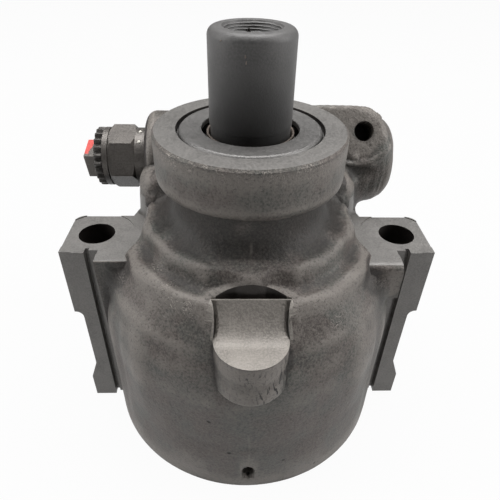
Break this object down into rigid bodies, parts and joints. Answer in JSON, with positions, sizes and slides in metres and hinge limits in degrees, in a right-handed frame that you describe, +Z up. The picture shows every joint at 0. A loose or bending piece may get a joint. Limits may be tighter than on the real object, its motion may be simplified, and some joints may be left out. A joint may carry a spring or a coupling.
{
  "type": "power steering pump",
  "caption": "Vane pump for power steering: iron body with a bare drive shaft, two mounting ears, a front lug, a plugged outlet fitting and a bracket tab.",
  "frame": {"origin": "on the drive shaft's axis, at the plane of the rear rim that the pump stands on", "axes": "+Z up the drive shaft towards the pulley end, -Y towards the front lug, +X towards the blind end of the valve bore and the bracket tab"},
  "size_m": [0.0852, 0.0767, 0.0958],
  "materials": {
    "cast_iron": "dark grey blasted casting, machined faces a little lighter",
    "shaft_steel": "dull grey ground steel with small nicks",
    "seal_steel": "dull pressed steel",
    "cover_steel": "turned steel",
    "fitting_steel": "dark phosphated steel",
    "ground_steel": "ground and polished steel",
    "spring_steel": "oiled spring steel",
    "sintered_iron": "lapped sintered iron",
    "bearing_bronze": "plain bearing bronze",
    "rubber": "black rubber"
  },
  "bodies": {
    "housing_group": {"housing": "cast_iron", "front_bushing": "bearing_bronze", "seal_case": "seal_steel", "seal_lip": "rubber", "garter_spring": "spring_steel", "thrust_plate": "sintered_iron", "cam_ring": "ground_steel", "pressure_plate": "sintered_iron", "pressure_plate_seal": "rubber", "disc_spring": "spring_steel", "rear_cover": "cover_steel", "rear_cover_seal": "rubber", "retaining_ring": "spring_steel", "dowel_pins": "ground_steel", "flow_spring": "spring_steel", "outlet_fitting": "fitting_steel", "mouth_seal": "rubber", "lock_ring": "fitting_steel", "port_plug": "fitting_steel", "plug_seal": "rubber"},
    "rotating_group": {"drive_shaft": "shaft_steel", "rotor": "ground_steel", "rotor_snap_ring": "spring_steel"},
    "vane_01": {"vane_01": "ground_steel"},
    "vane_02": {"vane_02": "ground_steel"},
    "vane_03": {"vane_03": "ground_steel"},
    "vane_04": {"vane_04": "ground_steel"},
    "vane_05": {"vane_05": "ground_steel"},
    "vane_06": {"vane_06": "ground_steel"},
    "vane_07": {"vane_07": "ground_steel"},
    "vane_08": {"vane_08": "ground_steel"},
    "vane_09": {"vane_09": "ground_steel"},
    "vane_10": {"vane_10": "ground_steel"},
    "spool": {"flow_spool": "ground_steel", "relief_seat": "ground_steel", "relief_spring": "spring_steel"},
    "relief_ball": {"relief_ball": "ground_steel"}
  },
  "joints": [
    {"name": "shaft_spin", "type": "hinge", "parent": "housing_group", "child": "rotating_group", "pos_m": [0, 0, 0.05], "axis": [0, 0, 1], "continuous": true},
    {"name": "vane_01_slide", "type": "slide", "parent": "rotating_group", "child": "vane_01", "axis": [0.9511, 0.309, 0], "range_m": [0, 0.00054]},
    {"name": "vane_02_slide", "type": "slide", "parent": "rotating_group", "child": "vane_02", "axis": [0.5878, 0.809, 0], "range_m": [0, 0.00164]},
    {"name": "vane_03_slide", "type": "slide", "parent": "rotating_group", "child": "vane_03", "axis": [0, 1, 0], "range_m": [0, 0.00242]},
    {"name": "vane_04_slide", "type": "slide", "parent": "rotating_group", "child": "vane_04", "axis": [-0.5878, 0.809, 0], "range_m": [0, 0.00164]},
    {"name": "vane_05_slide", "type": "slide", "parent": "rotating_group", "child": "vane_05", "axis": [-0.9511, 0.309, 0], "range_m": [0, 0.00054]},
    {"name": "vane_06_slide", "type": "slide", "parent": "rotating_group", "child": "vane_06", "axis": [-0.9511, -0.309, 0], "range_m": [0, 0.00054]},
    {"name": "vane_07_slide", "type": "slide", "parent": "rotating_group", "child": "vane_07", "axis": [-0.5878, -0.809, 0], "range_m": [0, 0.00164]},
    {"name": "vane_08_slide", "type": "slide", "parent": "rotating_group", "child": "vane_08", "axis": [0, -1, 0], "range_m": [0, 0.00242]},
    {"name": "vane_09_slide", "type": "slide", "parent": "rotating_group", "child": "vane_09", "axis": [0.5878, -0.809, 0], "range_m": [0, 0.00164]},
    {"name": "vane_10_slide", "type": "slide", "parent": "rotating_group", "child": "vane_10", "axis": [0.9511, -0.309, 0], "range_m": [0, 0.00054]},
    {"name": "spool_slide", "type": "slide", "parent": "housing_group", "child": "spool", "axis": [1, 0, 0], "range_m": [0, 0.006], "stiffness_N_per_m": 1500, "springref_m": -0.003, "deforming": ["flow_spring"]},
    {"name": "relief_ball_lift", "type": "slide", "parent": "spool", "child": "relief_ball", "axis": [-1, 0, 0], "range_m": [0, 0.0008], "stiffness_N_per_m": 500, "springref_m": -0.002, "deforming": ["relief_spring"]}
  ]
}
